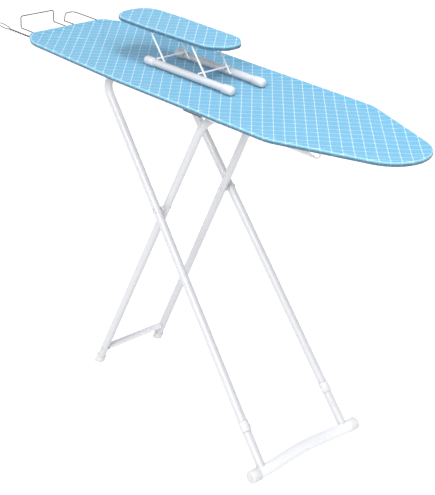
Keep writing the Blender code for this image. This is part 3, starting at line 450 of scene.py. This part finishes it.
FINISHES = {
    "white_tube": white_tube_finish(),
    "white_plastic": white_plastic_finish(),
    "rest_steel": rest_steel_finish(),
    "zinc_steel": zinc_finish(),
    "deck_paint": deck_paint_finish(),
    "dark_plastic": dark_plastic_finish(),
    "felt_pad": felt_finish(),
}
# Paler copies of the white tube finish on the bars and wires: painted light, to make up for the shade that
# they stand in under these lamps.
BAR_PAINTED_LIGHT = white_tube_finish("bar_painted_light", 1.34)
WIRE_PAINTED_LIGHT = white_tube_finish("wire_painted_light", 1.6)
NODE_FINISHES = {
    "outer_foot_bar": BAR_PAINTED_LIGHT, "inner_cross_tube": BAR_PAINTED_LIGHT, "stay_wire": WIRE_PAINTED_LIGHT,
    "sleeve_frame_tail": WIRE_PAINTED_LIGHT, "sleeve_frame_nose": WIRE_PAINTED_LIGHT,
    "stop_wire_tail": WIRE_PAINTED_LIGHT, "stop_wire_nose": WIRE_PAINTED_LIGHT,
}


# ---------------------------------------------------------------- rigid pieces from the frame


EDGE_SOFTENING = {"white_plastic": 0.5 * MM, "zinc_steel": 0.25 * MM, "deck_paint": 0.3 * MM}
EDGE_ANGLE = math.radians(50)
SPLIT_ANGLE = math.radians(48)
WELD_DISTANCE = 0.01 * MM
SLOTS = {part["node"]: part["material_slot"] for part in frame["record"]["subparts"]}


def dress_frame():
    """Give each rigid node its finish, welded round shading and softened edges."""
    for node, part in frame["nodes"].items():
        slot = SLOTS[node]
        if slot not in FINISHES:
            continue
        part.data.materials.clear()
        part.data.materials.append(NODE_FINISHES.get(node, FINISHES[slot]))
        part.data.shade_smooth()
        weld = part.modifiers.new("weld", "WELD")
        weld.merge_threshold = WELD_DISTANCE
        if slot in EDGE_SOFTENING:
            soften = part.modifiers.new("soften", "BEVEL")
            soften.width = EDGE_SOFTENING[slot]
            soften.segments = 2
            soften.limit_method = "ANGLE"
            soften.angle_limit = EDGE_ANGLE
            soften.use_clamp_overlap = True
        split = part.modifiers.new("sharp", "EDGE_SPLIT")
        split.split_angle = SPLIT_ANGLE


# ---------------------------------------------------------------- cloth and pads


OUTLINE_SMOOTHING = 6            # passes of smoothing along a board's outline
BOARD_INTERVALS = 480            # steps round half of each outline
SLEEVE_INTERVALS = 200


class Plan:
    """A board's plan outline, read from the top rim of its plain cover, and symmetric in Y."""

    def __init__(self, node, intervals):
        low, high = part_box(node)
        self.top = high.z
        self.bottom = low.z
        self.middle = (low.y + high.y) / 2
        self.start, self.end = low.x, high.x
        self.half_width = (high.y - low.y) / 2
        rim = {}
        for vertex in frame["nodes"][node].data.vertices:
            if vertex.co.z > high.z - 0.00001:
                rim[(round(vertex.co.x, 6), round(vertex.co.y, 6))] = vertex.co
        centre_x = (low.x + high.x) / 2
        corners = sorted(rim, key=lambda p: math.atan2(p[1] - self.middle, p[0] - centre_x))
        self.points = self.resample([Vector(p) for p in corners], intervals)
        self.smooth(OUTLINE_SMOOTHING)
        self.count = len(self.points)
        self.perimeter = sum((self.points[i] - self.points[i - 1]).length for i in range(self.count))

    def resample(self, corners, intervals):
        """Even points from the nose tip round the far side to the tail, then mirrored."""
        ring = corners + corners[:1]
        half = []
        for p, q in zip(ring, ring[1:]):
            if p.y >= self.middle - 1e-6 or q.y >= self.middle - 1e-6:
                half.append((p, q))
        half = [(self.clip(p, q), self.clip(q, p)) for p, q in half]
        half = [(p, q) for p, q in half if (p - q).length > 1e-9]
        total = sum((q - p).length for p, q in half)
        step, points, gone = total / intervals, [], 0.0
        wanted = 0
        for p, q in half:
            long = (q - p).length
            while wanted <= intervals and wanted * step <= gone + long + 1e-9:
                points.append(p.lerp(q, min(max((wanted * step - gone) / long, 0.0), 1.0)))
                wanted += 1
            gone += long
        mirrored = [Vector((p.x, 2 * self.middle - p.y)) for p in reversed(points[1:-1])]
        return points + mirrored

    def clip(self, point, other):
        """The point, or where the edge to the other point crosses the middle line."""
        if point.y >= self.middle:
            return point
        share = (self.middle - point.y) / (other.y - point.y)
        return point.lerp(other, share)

    def smooth(self, passes):
        for _ in range(passes):
            ring = self.points
            count = len(ring)
            self.points = [(ring[i - 1] + ring[i] * 2 + ring[(i + 1) % count]) / 4 for i in range(count)]

    def outward(self, index):
        ahead = self.points[(index + 1) % self.count] - self.points[index - 1]
        return Vector((ahead.y, -ahead.x)).normalized()

    def bend(self, index, reach=6):
        """How sharply the outline turns near a point, in radians per metre."""
        before = self.points[index] - self.points[(index - reach) % self.count]
        after = self.points[(index + reach) % self.count] - self.points[index]
        return abs(before.angle(after, 0.0)) / max(before.length, 1e-9)

    def spine(self, index):
        """The nearest point of the board's middle line, kept clear of its ends."""
        x = self.points[index].x
        return Vector((min(max(x, self.start + self.half_width * 0.9), self.end - self.half_width * 1.2),
                       self.middle))


def make_piece(name, mesh, material, body):
    piece = bpy.data.objects.new(name, mesh)
    bpy.context.scene.collection.objects.link(piece)
    mesh.materials.append(material)
    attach(piece, body)
    return piece


CASING_KEPT_UNDER_PAINTED_SHADE = 0.30              # how much of the cover's brightness the casing keeps under its painted shade
CLOTH_THICKNESS = 0.7 * MM
CLOTH_OUTSET = 0.3 * MM          # how far the cloth stands proud of the plain cover's side
CLOTH_DIP = 0.35 * MM            # how much lower the cloth lies than the plain cover's top
BEAD_REACH = 30.0 * MM           # how far in from the side the padded rim starts to rise
CASING_START = math.radians(58)  # where on the rim's shoulder the hem casing starts, from its top
CASING_THICKNESS = 0.5 * MM
INNER_SHARES = (0.0, 0.16, 0.32, 0.46, 0.58, 0.68, 0.77, 0.85, 0.92, 1.0)
RISE_SHARES = (0.0, 0.15, 0.3, 0.42, 0.54, 0.64, 0.74, 0.83, 0.92, 1.0)
SHOULDER_STEPS = 9
HEEL_STEPS = 6
Cut = namedtuple("Cut", "shoulder heel bead extra under tight_from tight_to")
BOARD_CUT = Cut(shoulder=6.0 * MM, heel=5.0 * MM, bead=2.2 * MM, extra=1.0 * MM, under=3.4 * MM,
                tight_from=-0.415, tight_to=-0.445)
SLEEVE_CUT = Cut(shoulder=5.0 * MM, heel=2.0 * MM, bead=0.7 * MM, extra=0.9 * MM, under=6.0 * MM,
                 tight_from=-9.0, tight_to=-9.1)
BOARD_FELT_INSET = 7.8 * MM
SLEEVE_FELT_INSET = 2.2 * MM
LONG_PUCKER = 13.0 * MM
SHORT_PUCKER = 7.7 * MM
TIGHT_HEEL = math.radians(24)
TIGHT_UNDER = 2.0 * MM


def rim_section(cut, depth, tight):
    """The cloth's section, from the flat top over the padded rim to the hem.

    Each point is (inset from the side, drop from the top, run along the cloth, angle of the shoulder).
    Where tight is 1 the hem stops at the side, and where it is 0 it turns under the rim."""
    points = []
    for share in RISE_SHARES:
        rise = share * share * (3 - 2 * share)
        inset = BEAD_REACH + (cut.shoulder - BEAD_REACH) * share
        points.append((inset, CLOTH_DIP * (1 - rise) - cut.bead * rise, 0.0))
    for step in range(1, SHOULDER_STEPS + 1):
        angle = math.pi / 2 * step / SHOULDER_STEPS
        points.append((cut.shoulder * (1 - math.sin(angle)),
                       cut.shoulder * (1 - math.cos(angle)) - cut.bead, angle))
    side_end = depth + cut.extra - cut.heel
    points.append((0.0, (points[-1][1] + side_end) / 2, math.pi / 2))
    turn = math.pi / 2 + (TIGHT_HEEL - math.pi / 2) * tight
    for step in range(HEEL_STEPS + 1):
        angle = turn * step / HEEL_STEPS
        points.append((cut.heel * (1 - math.cos(angle)), side_end + cut.heel * math.sin(angle), math.pi / 2))
    heel_inset, heel_drop, _ = points[-1]
    under = cut.under + (TIGHT_UNDER - cut.under) * tight
    for share in (0.3, 0.65, 1.0):
        points.append((heel_inset + math.sin(turn) * under * share,
                       heel_drop + math.cos(turn) * under * share, math.pi / 2))
    section, run = [], 0.0
    for index, (inset, drop, angle) in enumerate(points):
        if index:
            run += math.hypot(inset - points[index - 1][0], drop - points[index - 1][1])
        section.append((inset, drop, run, angle))
    return section


def gather(plan, index, drop, depth, seed):
    """How far the cloth puckers outwards: little on the straight sides, more round the corners."""
    share = max(0.0, (drop / depth - 0.25) / 0.75)
    along = plan.perimeter * index / plan.count
    turn = min(plan.bend(index) / 12.0, 1.0)
    drift = noise.noise(Vector((along * 9.0, seed, 0.0))) * 2.4
    ripple = math.sin(2 * math.pi * along / LONG_PUCKER + drift * 2.0)
    ripple += 0.5 * math.sin(2 * math.pi * along / SHORT_PUCKER + drift * 3.1)
    return share * ripple * (0.08 + 0.30 * turn) * MM


class Sewing:
    """Rings of points round a board, with their place on the flat cloth, made into one sheet."""

    def __init__(self, plan, cut, seed):
        self.plan, self.cut, self.seed = plan, cut, seed
        self.depth = plan.top - plan.bottom
        self.work = bmesh.new()
        self.flat = self.work.verts.layers.float_vector.new("flat")
        self.seam = self.work.verts.layers.float_vector.new("seam")
        self.rings = []
        self.sections = []
        for point in plan.points:
            tight = (cut.tight_from - point.x) / (cut.tight_from - cut.tight_to)
            tight = min(max(tight, 0.0), 1.0)
            self.sections.append(rim_section(cut, self.depth, tight))

    def add_point(self, place, height, flat, seam=(0.0, 0.0)):
        drift = Vector((place.x * 14.0, place.y * 14.0, self.seed))
        vertex = self.work.verts.new((place.x, place.y, height + noise.noise(drift) * 0.12 * MM))
        vertex[self.flat] = (flat.x, flat.y, 0.0)
        vertex[self.seam] = (seam[0], seam[1], 0.0)
        return vertex

    def inner_rings(self):
        for share in INNER_SHARES:
            ring = []
            for index, point in enumerate(self.plan.points):
                edge = point - self.plan.outward(index) * (BEAD_REACH - CLOTH_OUTSET)
                place = self.plan.spine(index).lerp(edge, share)
                ring.append(self.add_point(place, self.plan.top - CLOTH_DIP * share ** 2, place))
            self.rings.append(ring)

    def rim_rings(self, first, proud=0.0):
        start_run = self.sections[0][first][2]
        for level in range(first, len(self.sections[0])):
            ring = []
            for index, point in enumerate(self.plan.points):
                section = self.sections[index]
                inset, drop, run, _ = section[level]
                before, after = section[level - 1], section[min(level + 1, len(section) - 1)]
                slope = Vector((after[0] - before[0], after[1] - before[1])).normalized()
                outward = self.plan.outward(index)
                reach = CLOTH_OUTSET - inset + slope.y * proud
                reach += gather(self.plan, index, drop, self.depth, self.seed)
                place = point + outward * reach
                flat = point + outward * (CLOTH_OUTSET - BEAD_REACH + run)
                along = self.plan.perimeter * index / self.plan.count
                height = self.plan.top - drop - slope.x * proud
                ring.append(self.add_point(place, height, flat, (along, run - start_run)))
            self.rings.append(ring)

    def finish(self, name, close_middle):
        for low, high in zip(self.rings, self.rings[1:]):
            for index in range(self.plan.count):
                self.work.faces.new((low[index - 1], low[index], high[index], high[index - 1]))
        if close_middle:
            bmesh.ops.remove_doubles(self.work, verts=self.rings[0], dist=0.000001)
        faces = self.work.faces
        bmesh.ops.recalc_face_normals(self.work, faces=faces)
        shoulder = [face for face in faces if face.calc_center_median().z > self.plan.top - 2 * MM]
        if sum(face.normal.z * face.calc_area() for face in shoulder) < 0:
            bmesh.ops.reverse_faces(self.work, faces=faces)
        for face in faces:
            face.smooth = True
        mesh = bpy.data.meshes.new(name)
        self.work.to_mesh(mesh)
        self.work.free()
        return mesh


def add_thickness(piece, thickness):
    wall = piece.modifiers.new("thickness", "SOLIDIFY")
    wall.thickness = thickness
    wall.offset = -1.0


def make_cover(name, node, body, label, plan, cut, seed):
    """The printed cover, fitted over the board, and a hem casing round its lower edge, whose dark colour is
    painted shade.
    """
    cloth = Sewing(plan, cut, seed)
    cloth.inner_rings()
    cloth.rim_rings(1)
    mesh = cloth.finish(name, True)
    cover = make_piece(name, mesh, cotton_finish(name + "_cotton", LATTICE[label]), body)
    add_thickness(cover, CLOTH_THICKNESS)
    tape = Sewing(plan, cut, seed)
    levels = [level for level, point in enumerate(tape.sections[0]) if point[3] >= CASING_START]
    tape.rim_rings(levels[0], CASING_THICKNESS * 0.8)
    # the casing's cloth is darkened with painted shade
    painted_shade_cotton = cotton_finish(name + "_casing_painted_shade_cotton", LATTICE[label], CASING_KEPT_UNDER_PAINTED_SHADE)
    casing = make_piece(name + "_casing", tape.finish(name + "_casing", False), painted_shade_cotton, body)
    add_thickness(casing, CASING_THICKNESS)
    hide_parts(node)
    return cover


def make_pad(name, node, body, plan, inset):
    """A felt pad cut to the board's outline, crowned a little, with a soft rounded edge."""
    low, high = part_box(node)
    top, bottom = high.z, low.z
    radius = (top - bottom) / 2
    section = []
    for step in range(9):
        angle = math.pi * step / 8
        section.append((radius * (1 - math.sin(angle)), top - radius * (1 - math.cos(angle))))
    work = bmesh.new()

    def ring_at(depth_in, height, share=1.0):
        ring = []
        for index in range(plan.count):
            edge = plan.points[index] - plan.outward(index) * (inset + depth_in)
            place = plan.spine(index).lerp(edge, share)
            lift = noise.noise(Vector((place.x * 25.0, place.y * 25.0, height * 90.0))) * 0.15 * MM
            ring.append(work.verts.new((place.x, place.y, height + lift)))
        return ring

    soft = 0.2 * MM
    rings = [ring_at(radius, top - soft * share, share) for share in (0.0, 0.25, 0.5, 0.75)]
    first = rings[0]
    for depth_in, height in section:
        rings.append(ring_at(depth_in, height - soft if height > (top + bottom) / 2 else height + soft))
    rings += [ring_at(radius, bottom + soft * share, share) for share in (0.75, 0.5, 0.25, 0.0)]
    for lower, upper in zip(rings, rings[1:]):
        for index in range(plan.count):
            work.faces.new((lower[index - 1], lower[index], upper[index], upper[index - 1]))
    bmesh.ops.remove_doubles(work, verts=first, dist=0.000001)
    bmesh.ops.remove_doubles(work, verts=rings[-1], dist=0.000001)
    bmesh.ops.recalc_face_normals(work, faces=work.faces)
    for face in work.faces:
        face.smooth = True
    mesh = bpy.data.meshes.new(name)
    work.to_mesh(mesh)
    work.free()
    pad = make_piece(name, mesh, FINISHES["felt_pad"], body)
    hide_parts(node)
    return pad


def make_soft_goods():
    board = Plan("board_cover", BOARD_INTERVALS)
    sleeve = Plan("sleeve_cover", SLEEVE_INTERVALS)
    make_cover("board_cloth", "board_cover", "tabletop", "board", board, BOARD_CUT, 1.0)
    make_cover("sleeve_cloth", "sleeve_cover", "sleeve_board", "sleeve", sleeve, SLEEVE_CUT, 2.0)
    make_pad("board_felt", "board_pad", "tabletop", board, BOARD_FELT_INSET)
    make_pad("sleeve_felt", "sleeve_pad", "sleeve_board", sleeve, SLEEVE_FELT_INSET)


# ---------------------------------------------------------------- the scene

make_camera()
make_studio()
make_floor()
dress_frame()
make_soft_goods()
